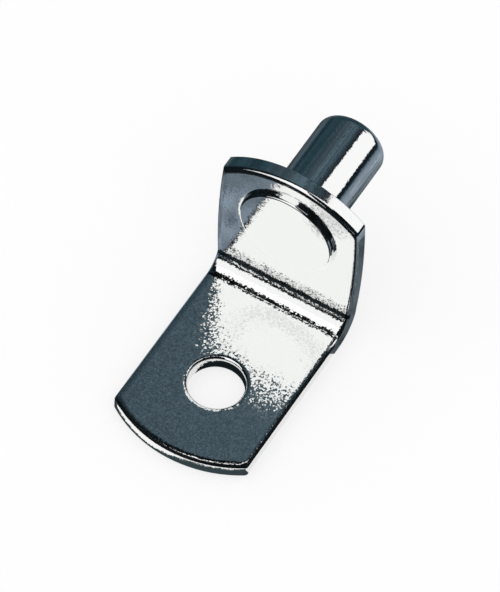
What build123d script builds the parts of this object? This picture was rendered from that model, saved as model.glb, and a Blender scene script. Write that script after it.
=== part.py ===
from build123d import *
import math
import os

# A shelf support pin. A punched and bent steel angle carries a headed steel pin, which is
# pressed through the upright from the front until its wide flat head is down.
# The pin goes into a drilled hole in the side of a cabinet.
# The level leaf of the angle then holds the end of a shelf, and a screw can pass up through it.
#
# Frame in millimetres: the origin is on the pin's axis, in the plane of the upright's back face.
# +Y runs along the pin into the cabinet side, +Z is up and X runs across the strip.

# Strip and bend
strip_width = 12.7
sheet = 1.3
leaf_reach = 19.5
upright_height = 16.9

# Inside of the bend: the nose of the bending punch leaves a round channel, with a crease along each side
nose_radius = 1.7
crease_angle = 12
crease_radius = 0.4

# Ends, sides and edges of the angle
leaf_end_rise = 2.0
upright_top_rise = 2.43
corner_round = 0.4
upright_bow = 0.2
rolled_edge = 0.25
broken_edge = 0.08

# Screw hole in the leaf
screw_hole_diameter = 4.8
screw_hole_reach = 11.8

# Headed pin. Its seat, a little thicker than the pin, fills the hole in the upright
pin_height = 10.4
pin_diameter = 6.2
pin_reach = 9.75
pin_end_round = 0.95
seat_diameter = 6.8
seat_clearance = 0.0
head_diameter = 8.7
head_height = 0.45
head_edge_round = 0.2

# Places that follow from the sizes above
quarter_turn = 90
underside = -pin_height
leaf_top = underside + sheet
upright_top = underside + upright_height
upright_front = -sheet
leaf_tip = -leaf_reach
crease_cosine = math.cos(math.radians(crease_angle))
crease_sine = math.sin(math.radians(crease_angle))
bend_inner_reach = nose_radius * (crease_cosine - crease_sine)
bend_inner_reach += crease_radius * (1 - crease_cosine + crease_sine)
bend_outer_radius = bend_inner_reach + sheet
bend_centre_y = upright_front - bend_inner_reach
bend_centre_z = leaf_top + bend_inner_reach
half_width = strip_width / 2
leaf_corner_y = leaf_tip + leaf_end_rise
upright_corner_z = upright_top - upright_top_rise
punch_length = 4 * sheet


def side_profile():
    """The angle seen along X, as one bent strip of even thickness."""
    with BuildSketch(Plane.YZ) as profile:
        with BuildLine():
            outside_leaf = Line((leaf_tip, underside), (bend_centre_y, underside))
            outside_bend = JernArc(
                outside_leaf @ 1, outside_leaf % 1, bend_outer_radius, quarter_turn
            )
            outside_upright = Line(outside_bend @ 1, (0, upright_top))
            top = Line(outside_upright @ 1, (upright_front, upright_top))
            inside_upright = Line(top @ 1, (upright_front, bend_centre_z))
            upper_crease = JernArc(
                inside_upright @ 1, inside_upright % 1, crease_radius, -crease_angle
            )
            channel = JernArc(
                upper_crease @ 1, upper_crease % 1, nose_radius, 2 * crease_angle - quarter_turn
            )
            lower_crease = JernArc(channel @ 1, channel % 1, crease_radius, -crease_angle)
            inside_leaf = Line(lower_crease @ 1, (leaf_tip, leaf_top))
            Line(inside_leaf @ 1, outside_leaf @ 0)
        make_face()
    return profile.sketch


def leaf_outline():
    """The leaf seen from above: parallel sides and a shallow round end."""
    with BuildSketch() as outline:
        with BuildLine():
            left = Line((-half_width, bend_centre_y), (-half_width, leaf_corner_y))
            end = ThreePointArc(left @ 1, (0, leaf_tip), (half_width, leaf_corner_y))
            right = Line(end @ 1, (half_width, bend_centre_y))
            Line(right @ 1, left @ 0)
        make_face()
        corners = outline.vertices().group_by(Axis.Y)[0]
        fillet(corners, corner_round)
    return outline.sketch


def upright_outline():
    """The upright seen from the front: a round top, and sides pushed out a little beside the head."""
    bow_z = (bend_centre_z + upright_corner_z) / 2
    with BuildSketch() as outline:
        with BuildLine():
            foot_left = Line((-half_width, underside), (-half_width, bend_centre_z))
            left = ThreePointArc(
                foot_left @ 1,
                (-half_width - upright_bow, bow_z),
                (-half_width, upright_corner_z),
            )
            top = ThreePointArc(left @ 1, (0, upright_top), (half_width, upright_corner_z))
            right = ThreePointArc(
                top @ 1, (half_width + upright_bow, bow_z), (half_width, bend_centre_z)
            )
            foot_right = Line(right @ 1, (half_width, underside))
            Line(foot_right @ 1, foot_left @ 0)
        make_face()
        corners = outline.vertices().group_by(Axis.Y)[-1]
        fillet(corners, corner_round)
    return outline.sketch


def rim(faces):
    """The edges that bound a run of faces, without those that two of them share."""
    edges = [edge for face in faces for edge in face.edges()]
    return [edge for edge in edges if edges.count(edge) == 1]


def runs_across(face):
    """True for a round face whose axis runs across the strip, as all of the bend's do."""
    return face.axis_of_rotation.is_parallel(Axis.X)


def inner_and_outer_rims(angle):
    """The edges round the inner side of the bent strip, and those round its outer side."""
    level = angle.faces().filter_by(Axis.Z).group_by(Axis.Z)
    upright = angle.faces().filter_by(Axis.Y).group_by(Axis.Y)
    bends = angle.faces().filter_by(GeomType.CYLINDER).filter_by(runs_across)
    bends = bends.sort_by(SortBy.AREA)
    inner = rim(level[-1] + upright[0] + bends[:-1])
    outer = rim(level[0] + upright[-1] + bends[-1:])
    return inner, outer


def make_angle_bracket():
    """One strip, punched to outline, bent square, and punched for the screw and the pin."""
    bent = extrude(side_profile(), half_width + upright_bow, both=True)
    leaf_zone = extrude(Plane.XY.offset(underside) * leaf_outline(), upright_height)
    upright_zone = extrude(
        Plane.XZ.offset(-bend_centre_y) * upright_outline(), bend_centre_y
    )
    screw_hole = Pos(0, -screw_hole_reach, leaf_top) * Cylinder(
        screw_hole_diameter / 2, punch_length
    )
    angle = (bent & (leaf_zone + upright_zone)) - screw_hole

    # The punch rolls the edges over on the inner side and leaves them crisp on the outer side
    inner_rim, outer_rim = inner_and_outer_rims(angle)
    angle = fillet(inner_rim, rolled_edge)
    inner_rim, outer_rim = inner_and_outer_rims(angle)
    angle = chamfer(outer_rim, broken_edge)

    seat_hole = Plane.XZ * Cylinder(seat_diameter / 2 + seat_clearance, punch_length)
    return angle - seat_hole


def make_pin():
    """A round pin with a wide flat head, and under the head the seat that grips the upright."""
    head_front = upright_front - head_height
    with BuildPart() as pin:
        with BuildSketch(Plane.XY):
            with BuildLine():
                Polyline(
                    (0, head_front),
                    (head_diameter / 2, head_front),
                    (head_diameter / 2, upright_front),
                    (seat_diameter / 2, upright_front),
                    (seat_diameter / 2, 0),
                    (pin_diameter / 2, 0),
                    (pin_diameter / 2, pin_reach),
                    (0, pin_reach),
                    (0, head_front),
                )
            make_face()
        revolve(axis=Axis.Y)
        rims = pin.edges().filter_by(GeomType.CIRCLE).sort_by(Axis.Y)
        fillet(rims[0], head_edge_round)
        fillet(rims[-1], pin_end_round)
    return pin.part


os.makedirs("parts", exist_ok=True)
export_step(make_angle_bracket(), "parts/angle_bracket.step")
export_step(make_pin(), "parts/pin.step")
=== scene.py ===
import math

import bpy
from mathutils import Matrix, Vector


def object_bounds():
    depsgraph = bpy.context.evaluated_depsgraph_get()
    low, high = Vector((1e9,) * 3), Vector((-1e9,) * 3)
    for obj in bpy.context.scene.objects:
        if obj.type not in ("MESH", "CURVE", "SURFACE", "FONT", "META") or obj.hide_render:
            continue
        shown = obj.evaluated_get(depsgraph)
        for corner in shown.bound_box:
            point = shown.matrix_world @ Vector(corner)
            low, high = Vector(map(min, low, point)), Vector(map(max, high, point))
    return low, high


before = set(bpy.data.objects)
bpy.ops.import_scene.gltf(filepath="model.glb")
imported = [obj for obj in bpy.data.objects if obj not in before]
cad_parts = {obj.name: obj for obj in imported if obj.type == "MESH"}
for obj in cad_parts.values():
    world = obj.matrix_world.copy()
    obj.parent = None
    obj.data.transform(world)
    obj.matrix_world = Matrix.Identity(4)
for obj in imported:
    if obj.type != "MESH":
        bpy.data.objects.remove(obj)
cad_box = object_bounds()

# A shelf support pin: a bright plated steel angle with a headed round pin pressed through its
# upright. +Y runs along the pin, +Z is up and X runs across the strip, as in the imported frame.
# Lengths are named in millimetres, and MM turns them into Blender's metres. Angles are in
# degrees: azimuth 0 is the front, -Y, and azimuth 90 is +X.

MM = 0.001


# The part's round outlines, which its die rolls and the cards beside it follow

LEAF_END_CENTRE = (0.0, -8.42, 0.0)
LEAF_END_RADIUS = 11.08
SCREW_HOLE_CENTRE = (0.0, -11.8, 0.0)
SCREW_HOLE_RIM_RADIUS = 2.5
UPRIGHT_TOP_CENTRE = (0.0, 0.0, -3.01)
UPRIGHT_TOP_RADIUS = 9.51
LEFT_SIDE_CENTRE = (80.15, 0.0, -1.81)
RIGHT_SIDE_CENTRE = (-80.15, 0.0, -1.81)
SIDE_RADIUS = 86.7
HEAD_CENTRE = (0.0, 0.0, 0.0)
HEAD_RADIUS = 4.35
ROLLED_EDGE = 0.25


# Colour

WHITE = "#FFFFFF"


def linear(hex_colour):
    """An sRGB hex value as linear red, green, blue and alpha."""
    channels = [int(hex_colour[i:i + 2], 16) / 255 for i in (1, 3, 5)]
    return [c / 12.92 if c <= 0.04045 else ((c + 0.055) / 1.055) ** 2.4 for c in channels] + [1.0]


# Nodes

# Most of a noise texture's values lie in this range
NOISE_RANGE = (0.3, 0.7)


def add_node(tree, kind, settings=None, links=None):
    """Adds a node. settings sets its properties and sockets by name or by number, and links
    joins its sockets to other nodes' outputs."""
    node = tree.nodes.new(kind)
    for name, value in (settings or {}).items():
        if isinstance(name, str) and hasattr(node, name):
            setattr(node, name, value)
        else:
            node.inputs[name].default_value = value
    for name, source in (links or {}).items():
        tree.links.new(source, node.inputs[name])
    return node


def new_material(name):
    material = bpy.data.materials.new(name)
    material.use_nodes = True
    material.node_tree.nodes.clear()
    return material, material.node_tree


# Camera

PHOTO_SIZE = (500, 592)
CAMERA_AZIMUTH = 26.983
CAMERA_ELEVATION = 55.452
CAMERA_ROLL = 4.598
CAMERA_DISTANCE = 468.06
CAMERA_TARGET = (-1.5475, -4.0, -7.3379)
FOCAL_PIXELS = 5683.6
SENSOR_SIZE = 36.0
NEAREST_SEEN = 10
FARTHEST_SEEN = 10000


def direction(azimuth, elevation):
    """The unit vector from the object towards an azimuth and an elevation."""
    a, e = math.radians(azimuth), math.radians(elevation)
    return Vector((math.sin(a) * math.cos(e), -math.cos(a) * math.cos(e), math.sin(e)))


def make_camera():
    """A long lens at the photograph's angle, a little turned about its own axis."""
    data = bpy.data.cameras.new("camera")
    data.sensor_width = SENSOR_SIZE
    data.lens = FOCAL_PIXELS / max(PHOTO_SIZE) * SENSOR_SIZE
    data.clip_start = NEAREST_SEEN * MM
    data.clip_end = FARTHEST_SEEN * MM
    camera = bpy.data.objects.new("camera", data)
    bpy.context.scene.collection.objects.link(camera)
    back = direction(CAMERA_AZIMUTH, CAMERA_ELEVATION)
    level = Vector((0, 0, 1)).cross(back).normalized()
    upright = back.cross(level)
    roll = math.radians(CAMERA_ROLL)
    right = level * math.cos(roll) + upright * math.sin(roll)
    up = upright * math.cos(roll) - level * math.sin(roll)
    turn = Matrix((right, up, back)).transposed().to_4x4()
    place = (Vector(CAMERA_TARGET) + back * CAMERA_DISTANCE) * MM
    camera.matrix_world = Matrix.Translation(place) @ turn
    bpy.context.scene.camera = camera


# Studio: a white room. The dark parts of the bright metal are cards, which only its reflections
# show.

FLOOR_SIZE = 1200
FLOOR_COLOUR = "#FDFDFD"
# The share of the floor's white that the object's shadow can darken
FLOOR_SHADE_SHARE = 0.3

# The cards' tones are cloudy, by this share, in clouds of this size: far off and on the floor
CLOUD_SHARE = 0.5
CARD_CLOUD = 20
TABLE_CLOUD = 1.6

# How many strips a card's curve is made of
CARD_STEPS = 16

# How far off the curved cards stand
FAR = 250
NEAR = 38

NEAR_BLACK = "#0E1315"


def even(start, end, colour):
    """The tones of a card that has the same one all over."""
    return ((start, colour), (end, colour))


# Curved cards round the origin: name, distance, elevations, tones by azimuth, strength if not 1
CARDS = (
    ("front_low_softbox", FAR, (4, 40), even(-47, 4, WHITE), 1.08),
    ("front_softbox", FAR, (40, 84), even(-47, 4, WHITE), 1.28),
    ("front_flag", FAR, (-14, 4), even(-47, 70, "#101619")),
    ("right_flag", FAR, (4, 90), even(4, 80, "#12181B")),
    ("near_right_flag", NEAR, (-15, 60), even(42, 108, NEAR_BLACK)),
    ("near_right_low_flag", NEAR, (-15, 13), even(108, 122, NEAR_BLACK)),
    ("back_horizon", FAR, (-2.5, 9.5), even(80, 160, "#1A242D")),
    ("back_softbox", FAR, (9.5, 60), even(80, 148, WHITE), 1.12),
    ("left_flag", FAR, (-3, 35), ((160, "#2A3F48"), (250, "#2A3F48"), (284, "#11171A"),
                                  (313, "#11171A"))),
    ("overhead_flag", FAR, (35, 68), ((148, "#10161A"), (158, "#2A363D"), (173, "#3F5059"),
                                      (187, "#4A5C67"), (201, "#4E5F69"), (212, "#46565F"),
                                      (227, "#3C4C55"), (262, "#222D34"), (284, "#11171A"),
                                      (313, "#11171A"))),
    ("zenith_flag", FAR, (68, 90), even(148, 313, "#0C1012")),
)

# The cards on the floor lie 0.03 above it
TABLE_CARD_HEIGHT = -10.37

# Sectors of card round the point under the origin: name, azimuths, tones by distance. The grey
# tones of the left front and right back sectors next to the part are painted shadow of the part
# on the floor, seen only in reflections. The last one lies under the part, for the outside of the
# bend, and its dark tone is painted shade under the bend
TABLE_CARDS = (
    ("left_front_table", (262, 340), ((0, "#7C8996"), (12.5, "#7C8996"), (15, "#6E7B85"),
                                      (17.5, "#3A4449"), (22, "#11171A"), (250, "#11171A"))),
    ("left_back_table", (180, 262), ((0, "#3E474D"), (25, "#414B50"), (31, "#4B575D"),
                                     (44, "#4F5F6A"), (67, "#44555E"), (110, "#2A3F48"),
                                     (250, "#2A3F48"))),
    ("right_back_table", (62, 180), ((0, "#535D63"), (13, "#535D63"), (16, "#69757B"),
                                     (20, "#848F9A"), (26, "#919EAB"), (38, "#8D9AA7"),
                                     (52, "#7D8D9A"), (95, "#637380"), (130, "#404D56"),
                                     (250, "#1C262F"))),
    ("bend_table", (340, 422), even(0, 6, "#3E474D")),
)

# Rectangles of card: name, limits in x and in y
FLAT_CARDS = (
    ("right_front_table", (7.1, 60), (-26, -4)),
    ("front_table", (-60, 60), (-250, -26)),
)
FLAT_CARD_COLOUR = "#161D20"

# A crescent of card under the screw hole, from the hole's rim to an arc of its own
HOLE_CARD_AZIMUTHS = (60, 300)
HOLE_CARD_CENTRE = (-0.4, -12.6)
HOLE_CARD_RADIUS = 2.35

# Card on the floor round the leaf's end: a dark rim, which is a painted contact shadow that the
# end face mirrors and widens from its first width to its second between two azimuths, and a light
# rim outside it. All are measured from the end's outline
END_CARD_AZIMUTHS = (-36, 36)
END_CARD_INSET = 0.3
END_SHADOW_WIDTHS = (0.2, 0.62)
END_SHADOW_WIDENS = (-8, 10)
END_SHADOW_COLOUR = "#39454A"
END_LIGHT_REACH = 1.0
END_LIGHT_STRENGTH = 1.08

# A low dark strip that stands off the leaf's end and right side: how far, from where to where
# in height, and the y at which it stops behind
LEAF_FLAG_GAP = 0.6
LEAF_FLAG_HEIGHTS = (-9.7, -5.9)
LEAF_FLAG_BACK = -3.0

# A light arc that stands under the pin's head, so that the leaf doesn't mirror the head's dark
# rim. Its angles turn from +X up to +Z, and its reach is in y
RIM_CARD_RADIUS = 4.62
RIM_CARD_ANGLES = (183, 357)
RIM_CARD_REACH = (-1.33, -2.05)
RIM_CARD_STRENGTH = 1.06


def make_floor():
    """A plain white floor. Part of its white is its own, so the shadow on it stays light."""
    z = cad_box[0].z
    h = FLOOR_SIZE * MM / 2
    mesh = bpy.data.meshes.new("floor")
    mesh.from_pydata([(-h, -h, z), (h, -h, z), (h, h, z), (-h, h, z)], [], [(0, 1, 2, 3)])
    floor = bpy.data.objects.new("floor", mesh)
    bpy.context.scene.collection.objects.link(floor)
    material, tree = new_material("white_floor")
    path = add_node(tree, "ShaderNodeLightPath")
    seen = add_node(tree, "ShaderNodeMath", {"operation": "ADD"},
                    {0: path.outputs["Is Camera Ray"], 1: path.outputs["Is Glossy Ray"]})
    seen = add_node(tree, "ShaderNodeMath", {"operation": "ADD", "use_clamp": True},
                    {0: seen.outputs[0], 1: path.outputs["Is Transmission Ray"]})
    share = add_node(tree, "ShaderNodeMath", {"operation": "MULTIPLY", 1: 1 - FLOOR_SHADE_SHARE},
                     {0: seen.outputs[0]})
    matt = add_node(tree, "ShaderNodeBsdfDiffuse", {"Color": linear(FLOOR_COLOUR)})
    own = add_node(tree, "ShaderNodeEmission", {"Color": linear(WHITE), "Strength": 1.0})
    mixed = add_node(tree, "ShaderNodeMixShader", {},
                     {0: share.outputs[0], 1: matt.outputs[0], 2: own.outputs[0]})
    add_node(tree, "ShaderNodeOutputMaterial", {}, {"Surface": mixed.outputs[0]})
    mesh.materials.append(material)


def spread(ends):
    """Even steps from one end to the other."""
    return [ends[0] + (ends[1] - ends[0]) * i / CARD_STEPS for i in range(CARD_STEPS + 1)]


def on_arc(centre, radius, azimuth, height):
    """The point in an azimuth from the centre of a level arc."""
    step = direction(azimuth, 0) * radius
    return (centre[0] + step.x, centre[1] + step.y, height)


def make_patch(name, rows, material):
    """A staged sheet through rows of points in millimetres, which only reflections show."""
    count = len(rows[0])
    faces = []
    for i in range(len(rows) - 1):
        for j in range(count - 1):
            k = i * count + j
            faces.append((k, k + 1, k + count + 1, k + count))
    mesh = bpy.data.meshes.new(name)
    mesh.from_pydata([Vector(point) * MM for row in rows for point in row], [], faces)
    mesh.materials.append(material)
    patch = bpy.data.objects.new(name, mesh)
    bpy.context.scene.collection.objects.link(patch)
    patch.visible_camera = False
    patch.visible_diffuse = False
    patch.visible_shadow = False
    patch.visible_transmission = False


def glow_by(tree, place, measure, tones, strength, cloud_size):
    """A light whose colour follows a measure through a run of tones, cloudy if it isn't white."""
    start, end = tones[0][0], tones[-1][0]
    share = add_node(tree, "ShaderNodeMapRange", {"From Min": start, "From Max": end},
                     {"Value": measure})
    ramp = add_node(tree, "ShaderNodeValToRGB", {}, {0: share.outputs[0]})
    stops = ramp.color_ramp.elements
    while len(stops) < len(tones):
        stops.new(1.0)
    for stop, (at, colour) in zip(stops, tones):
        stop.position = (at - start) / (end - start)
        stop.color = linear(colour)
    glow = add_node(tree, "ShaderNodeEmission", {"Strength": strength},
                    {"Color": ramp.outputs[0]})
    if tones[0][1] != WHITE:
        cloud = add_node(tree, "ShaderNodeTexNoise",
                         {"Scale": 1 / (cloud_size * MM), "Detail": 2.0},
                         {"Vector": place.outputs["Object"]})
        level = add_node(tree, "ShaderNodeMapRange",
                         {"From Min": NOISE_RANGE[0], "From Max": NOISE_RANGE[1],
                          "To Min": strength * (1 - CLOUD_SHARE),
                          "To Max": strength * (1 + CLOUD_SHARE)}, {"Value": cloud.outputs[0]})
        tree.links.new(level.outputs[0], glow.inputs["Strength"])
    add_node(tree, "ShaderNodeOutputMaterial", {}, {"Surface": glow.outputs[0]})


def make_card(name, distance, elevations, tones, strength=1.0):
    """A curved studio card, whose tone changes with the azimuth. It is measured from 0 to 360,
    so a card that crosses azimuth 0 is of one tone."""
    azimuths = (tones[0][0], tones[-1][0])
    material, tree = new_material(name)
    place = add_node(tree, "ShaderNodeTexCoord")
    part = add_node(tree, "ShaderNodeSeparateXYZ", {}, {0: place.outputs["Object"]})
    left = add_node(tree, "ShaderNodeMath", {"operation": "MULTIPLY", 1: -1.0},
                    {0: part.outputs[0]})
    angle = add_node(tree, "ShaderNodeMath", {"operation": "ARCTAN2"},
                     {0: left.outputs[0], 1: part.outputs[1]})
    azimuth = add_node(tree, "ShaderNodeMath",
                       {"operation": "MULTIPLY_ADD", 1: math.degrees(1), 2: 180.0},
                       {0: angle.outputs[0]})
    glow_by(tree, place, azimuth.outputs[0], tones, strength, CARD_CLOUD)
    rows = [[direction(a, e) * distance for e in spread(elevations)] for a in spread(azimuths)]
    make_patch(name, rows, material)


def make_table_card(name, azimuths, tones):
    """A sector of card on the floor, whose tone changes with the distance from its centre."""
    centre = Vector((0, 0, TABLE_CARD_HEIGHT))
    material, tree = new_material(name)
    place = add_node(tree, "ShaderNodeTexCoord")
    away = add_node(tree, "ShaderNodeVectorMath", {"operation": "DISTANCE", 1: centre * MM},
                    {0: place.outputs["Object"]})
    distance = add_node(tree, "ShaderNodeMath", {"operation": "DIVIDE", 1: MM},
                        {0: away.outputs["Value"]})
    glow_by(tree, place, distance.outputs[0], tones, 1.0, TABLE_CLOUD)
    reach = (0.0, tones[-1][0])
    rows = [[on_arc(centre, r, a, centre.z) for r in spread(reach)] for a in spread(azimuths)]
    make_patch(name, rows, material)


def make_plain_card(name, rows, colour, strength=1.0):
    """A piece of plain card through rows of points."""
    material, tree = new_material(name)
    glow = add_node(tree, "ShaderNodeEmission", {"Color": linear(colour), "Strength": strength})
    add_node(tree, "ShaderNodeOutputMaterial", {}, {"Surface": glow.outputs[0]})
    make_patch(name, rows, material)


def make_hole_card():
    """A crescent that darkens the screw hole's wall and not the view through the hole."""
    rows = []
    for a in spread(HOLE_CARD_AZIMUTHS):
        rows.append([on_arc(SCREW_HOLE_CENTRE, SCREW_HOLE_RIM_RADIUS, a, TABLE_CARD_HEIGHT),
                     on_arc(HOLE_CARD_CENTRE, HOLE_CARD_RADIUS, a, TABLE_CARD_HEIGHT)])
    make_plain_card("screw_hole_table", rows, FLAT_CARD_COLOUR)


def make_end_cards():
    """Round the leaf's end: the painted contact shadow and the light rim on the floor, and the
    low strip.
    """
    dark, light, flag = [], [], []
    narrow, wide = END_SHADOW_WIDTHS
    first, last = END_SHADOW_WIDENS
    for a in spread(END_CARD_AZIMUTHS):
        share = min(max((a - first) / (last - first), 0), 1)
        reaches = (-END_CARD_INSET, narrow + (wide - narrow) * share, END_LIGHT_REACH)
        inner, middle, outer = [on_arc(LEAF_END_CENTRE, LEAF_END_RADIUS + reach, a,
                                       TABLE_CARD_HEIGHT) for reach in reaches]
        dark.append([inner, middle])
        light.append([middle, outer])
        flag.append([on_arc(LEAF_END_CENTRE, LEAF_END_RADIUS + LEAF_FLAG_GAP, a, z)
                     for z in LEAF_FLAG_HEIGHTS])
    flag.append([(x, LEAF_FLAG_BACK, z) for x, y, z in flag[-1]])
    # The dark rim is a painted contact shadow, seen only in the end face's reflection
    make_plain_card("leaf_end_painted_shadow_table", dark, END_SHADOW_COLOUR)
    make_plain_card("leaf_end_light_table", light, WHITE, END_LIGHT_STRENGTH)
    make_plain_card("leaf_flag", flag, NEAR_BLACK)


def make_rim_card():
    rows = []
    for a in spread(RIM_CARD_ANGLES):
        x = RIM_CARD_RADIUS * math.cos(math.radians(a))
        z = RIM_CARD_RADIUS * math.sin(math.radians(a))
        rows.append([(x, y, z) for y in RIM_CARD_REACH])
    make_plain_card("rim_card", rows, WHITE, RIM_CARD_STRENGTH)


def make_world():
    world = bpy.data.worlds.new("white_room")
    world.use_nodes = True
    background = world.node_tree.nodes["Background"]
    background.inputs["Color"].default_value = linear(WHITE)
    background.inputs["Strength"].default_value = 1.0
    bpy.context.scene.world = world


def make_studio():
    make_world()
    make_floor()
    for card in CARDS:
        make_card(*card)
    for card in TABLE_CARDS:
        make_table_card(*card)
    for name, xs, ys in FLAT_CARDS:
        rows = [[(x, y, TABLE_CARD_HEIGHT) for y in ys] for x in xs]
        make_plain_card(name, rows, FLAT_CARD_COLOUR)
    make_hole_card()
    make_end_cards()
    make_rim_card()


# Plating

PLATE_COLOUR = "#EBECEB"
STRIP_ROUGHNESS = 0.08
PIN_ROUGHNESS = 0.06

# The mottle's size, and how far it swings the roughness
MOTTLE_CELL = 0.9
MOTTLE_SHARE = 0.3

# The grain's size and how far it tilts the surface. On the strip it is coarse on the leaf and
# in the bend, and finer above this stretch of height
GRAIN_CELL = 0.13
LEAF_GRAIN_TILT = 2.8
UPRIGHT_GRAIN_TILT = 1.3
PIN_GRAIN_TILT = 0.8
GRAIN_CHANGE = (-6.9, -5.5)

# The painted shade along the bend's two creases: the y and z of the lines along which the bend
# meets the upright and the leaf, and how far off the shade starts and ends to fade. Its border
# wanders by this much
CREASE_SHADE_LINES = (
    ((-1.3, -7.7), (0.3, 0.38)),
    ((-2.75, -9.1), (0.06, 0.12)),
)
CREASE_WANDER = 0.25
# The colour of the painted shade in the creases
CREASE_SHADE_COLOUR = "#1C252B"

# Die roll: the sheet is drawn down towards each punched edge, and round the pin's head.
# Each edge is a circle in the leaf's plane or in the upright's: centre, radius, 1 where the
# sheet lies inside it and -1 where it lies outside, the roll's width, and its slope at the edge.
# The roll round the head is lower than it is wide
LEAF_PLANE = (1.0, 1.0, 0.0)
UPRIGHT_PLANE = (1.0, 0.0, 1.0)
HEAD_PLANE = (1.0, 0.0, 1.15)
DIE_ROLLS = (
    (LEAF_PLANE, LEAF_END_CENTRE, LEAF_END_RADIUS - ROLLED_EDGE, 1, 0.4, 18),
    (LEAF_PLANE, SCREW_HOLE_CENTRE, SCREW_HOLE_RIM_RADIUS, -1, 0.4, 18),
    (UPRIGHT_PLANE, UPRIGHT_TOP_CENTRE, UPRIGHT_TOP_RADIUS - ROLLED_EDGE, 1, 0.55, 26),
    (UPRIGHT_PLANE, LEFT_SIDE_CENTRE, SIDE_RADIUS - ROLLED_EDGE, 1, 0.3, 13),
    (UPRIGHT_PLANE, RIGHT_SIDE_CENTRE, SIDE_RADIUS - ROLLED_EDGE, 1, 0.3, 13),
    (HEAD_PLANE, HEAD_CENTRE, HEAD_RADIUS, -1, 0.8, 11),
)

# The punch's side faces up on the leaf and forwards on the upright
PUNCH_SIDE = (0.0, -1.0, 1.0)
PUNCH_SIDE_LEAST = 0.05


def add_die_rolls(tree, place, shape):
    """How far the surface leans over towards the nearest punched edge, on the punch's side."""
    lean = None
    for plane, centre, radius, sense, width, slope in DIE_ROLLS:
        flat = add_node(tree, "ShaderNodeVectorMath",
                        {"operation": "MULTIPLY_ADD", 1: plane, 2: [-c * MM for c in centre]},
                        {0: place.outputs["Object"]})
        away = add_node(tree, "ShaderNodeVectorMath", {"operation": "LENGTH"},
                        {0: flat.outputs[0]})
        tilt = add_node(tree, "ShaderNodeMapRange",
                        {"From Min": (radius - sense * width) * MM, "From Max": radius * MM,
                         "To Min": 0.0, "To Max": sense * math.tan(math.radians(slope))},
                        {"Value": away.outputs["Value"]})
        outward = add_node(tree, "ShaderNodeVectorMath", {"operation": "NORMALIZE"},
                           {0: flat.outputs[0]})
        step = add_node(tree, "ShaderNodeVectorMath", {"operation": "SCALE"},
                        {0: outward.outputs[0], "Scale": tilt.outputs[0]})
        if lean:
            step = add_node(tree, "ShaderNodeVectorMath", {"operation": "ADD"},
                            {0: lean.outputs[0], 1: step.outputs[0]})
        lean = step
    facing = add_node(tree, "ShaderNodeVectorMath", {"operation": "DOT_PRODUCT", 1: PUNCH_SIDE},
                      {0: shape.outputs["Normal"]})
    punched = add_node(tree, "ShaderNodeMath",
                       {"operation": "GREATER_THAN", 1: PUNCH_SIDE_LEAST},
                       {0: facing.outputs["Value"]})
    return add_node(tree, "ShaderNodeVectorMath", {"operation": "SCALE"},
                    {0: lean.outputs[0], "Scale": punched.outputs[0]})


def add_painted_crease_shade(tree, place, grain, metal):
    """Painted shade along the bend's two creases: the base colour darkens towards the two lines
    where the bend meets the upright and the leaf. The grain makes their borders ragged."""
    flat = add_node(tree, "ShaderNodeVectorMath", {"operation": "MULTIPLY", 1: (0.0, 1.0, 1.0)},
                    {0: place.outputs["Object"]})
    ragged = add_node(tree, "ShaderNodeSeparateXYZ", {}, {0: grain.outputs["Color"]})
    marks = []
    for (y, z), (inner, outer) in CREASE_SHADE_LINES:
        away = add_node(tree, "ShaderNodeVectorMath",
                        {"operation": "DISTANCE", 1: (0.0, y * MM, z * MM)},
                        {0: flat.outputs[0]})
        edge = add_node(tree, "ShaderNodeMath",
                        {"operation": "MULTIPLY_ADD", 1: CREASE_WANDER * MM},
                        {0: ragged.outputs[0], 2: away.outputs["Value"]})
        marks.append(add_node(tree, "ShaderNodeMapRange",
                              {"From Min": (inner + CREASE_WANDER / 2) * MM,
                               "From Max": (outer + CREASE_WANDER / 2) * MM,
                               "To Min": 1.0, "To Max": 0.0}, {"Value": edge.outputs[0]}))
    both = add_node(tree, "ShaderNodeMath", {"operation": "MAXIMUM"},
                    {0: marks[0].outputs[0], 1: marks[1].outputs[0]})
    # Sockets 6 and 7 are the two colours, and output 2 is their mix
    colour = add_node(tree, "ShaderNodeMix",
                      {"data_type": "RGBA", 6: linear(PLATE_COLOUR), 7: linear(CREASE_SHADE_COLOUR)},
                      {0: both.outputs[0]})
    tree.links.new(colour.outputs[2], metal.inputs["Base Color"])


def facet_scale(tilt):
    """Turns a cell's random steps, which run from -0.5 to 0.5, into leans of up to a tilt."""
    return 2 * math.tan(math.radians(tilt))


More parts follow.
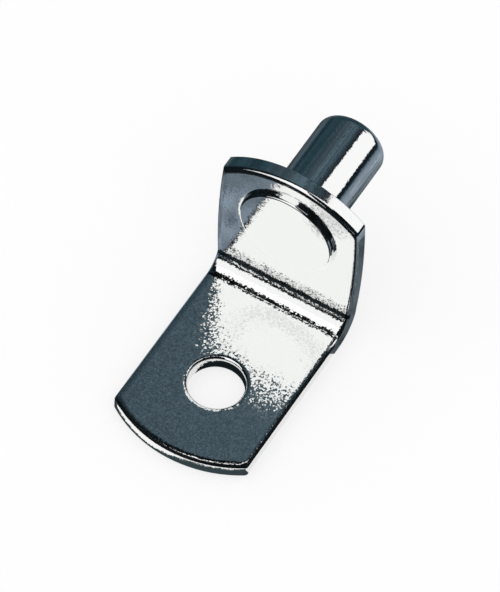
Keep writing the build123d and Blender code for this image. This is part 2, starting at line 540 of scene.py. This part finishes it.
def bright_plating(name, grain_tilt, roughness, punched):
    """Bright zinc plate over cold-rolled steel: a cold white mirror, speckled by the grain of
    the steel under it."""
    material, tree = new_material(name)
    place = add_node(tree, "ShaderNodeTexCoord")
    shape = add_node(tree, "ShaderNodeNewGeometry")

    # Grain: crystals that catch the light one by one, so every mirrored edge breaks up into
    # crisp specks. The real ones are finer than a pixel, so they are drawn coarser, at
    # GRAIN_CELL
    grain = add_node(tree, "ShaderNodeTexVoronoi", {"Scale": 1 / (GRAIN_CELL * MM)},
                     {"Vector": place.outputs["Object"]})
    facet = add_node(tree, "ShaderNodeVectorMath", {"operation": "SUBTRACT", 1: (0.5, 0.5, 0.5)},
                     {0: grain.outputs["Color"]})
    lean = add_node(tree, "ShaderNodeVectorMath",
                    {"operation": "SCALE", "Scale": facet_scale(grain_tilt)},
                    {0: facet.outputs[0]})
    normal = add_node(tree, "ShaderNodeVectorMath", {"operation": "ADD"},
                      {0: lean.outputs[0], 1: shape.outputs["Normal"]})
    if punched:
        part = add_node(tree, "ShaderNodeSeparateXYZ", {}, {0: place.outputs["Object"]})
        coarse = add_node(tree, "ShaderNodeMapRange",
                          {"From Min": GRAIN_CHANGE[0] * MM, "From Max": GRAIN_CHANGE[1] * MM,
                           "To Min": facet_scale(LEAF_GRAIN_TILT),
                           "To Max": facet_scale(grain_tilt)}, {"Value": part.outputs[2]})
        tree.links.new(coarse.outputs[0], lean.inputs["Scale"])
        rolls = add_die_rolls(tree, place, shape)
        normal = add_node(tree, "ShaderNodeVectorMath", {"operation": "ADD"},
                          {0: normal.outputs[0], 1: rolls.outputs[0]})
    normal = add_node(tree, "ShaderNodeVectorMath", {"operation": "NORMALIZE"},
                      {0: normal.outputs[0]})

    # Mottle: the plate is a little duller in some places, which clouds the dark reflections
    mottle = add_node(tree, "ShaderNodeTexNoise",
                      {"Scale": 1 / (MOTTLE_CELL * MM), "Detail": 3.0},
                      {"Vector": place.outputs["Object"]})
    dull = add_node(tree, "ShaderNodeMapRange",
                    {"From Min": NOISE_RANGE[0], "From Max": NOISE_RANGE[1],
                     "To Min": roughness * (1 - MOTTLE_SHARE),
                     "To Max": roughness * (1 + MOTTLE_SHARE)}, {"Value": mottle.outputs[0]})
    metal = add_node(tree, "ShaderNodeBsdfPrincipled",
                     {"Metallic": 1.0, "Base Color": linear(PLATE_COLOUR)},
                     {"Roughness": dull.outputs[0], "Normal": normal.outputs[0]})
    add_node(tree, "ShaderNodeOutputMaterial", {}, {"Surface": metal.outputs[0]})
    if punched:
        # The strip's base colour darkens to painted shade along the bend's creases
        add_painted_crease_shade(tree, place, grain, metal)
    return material


def dress(node, material):
    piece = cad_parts[node]
    piece.data.materials.clear()
    piece.data.materials.append(material)


make_camera()
make_studio()
dress("angle_bracket", bright_plating("bright_zinc_plated_strip", UPRIGHT_GRAIN_TILT,
                                      STRIP_ROUGHNESS, punched=True))
dress("pin", bright_plating("bright_zinc_plated_pin", PIN_GRAIN_TILT, PIN_ROUGHNESS,
                            punched=False))

bpy.context.scene.view_settings.view_transform = "Standard"
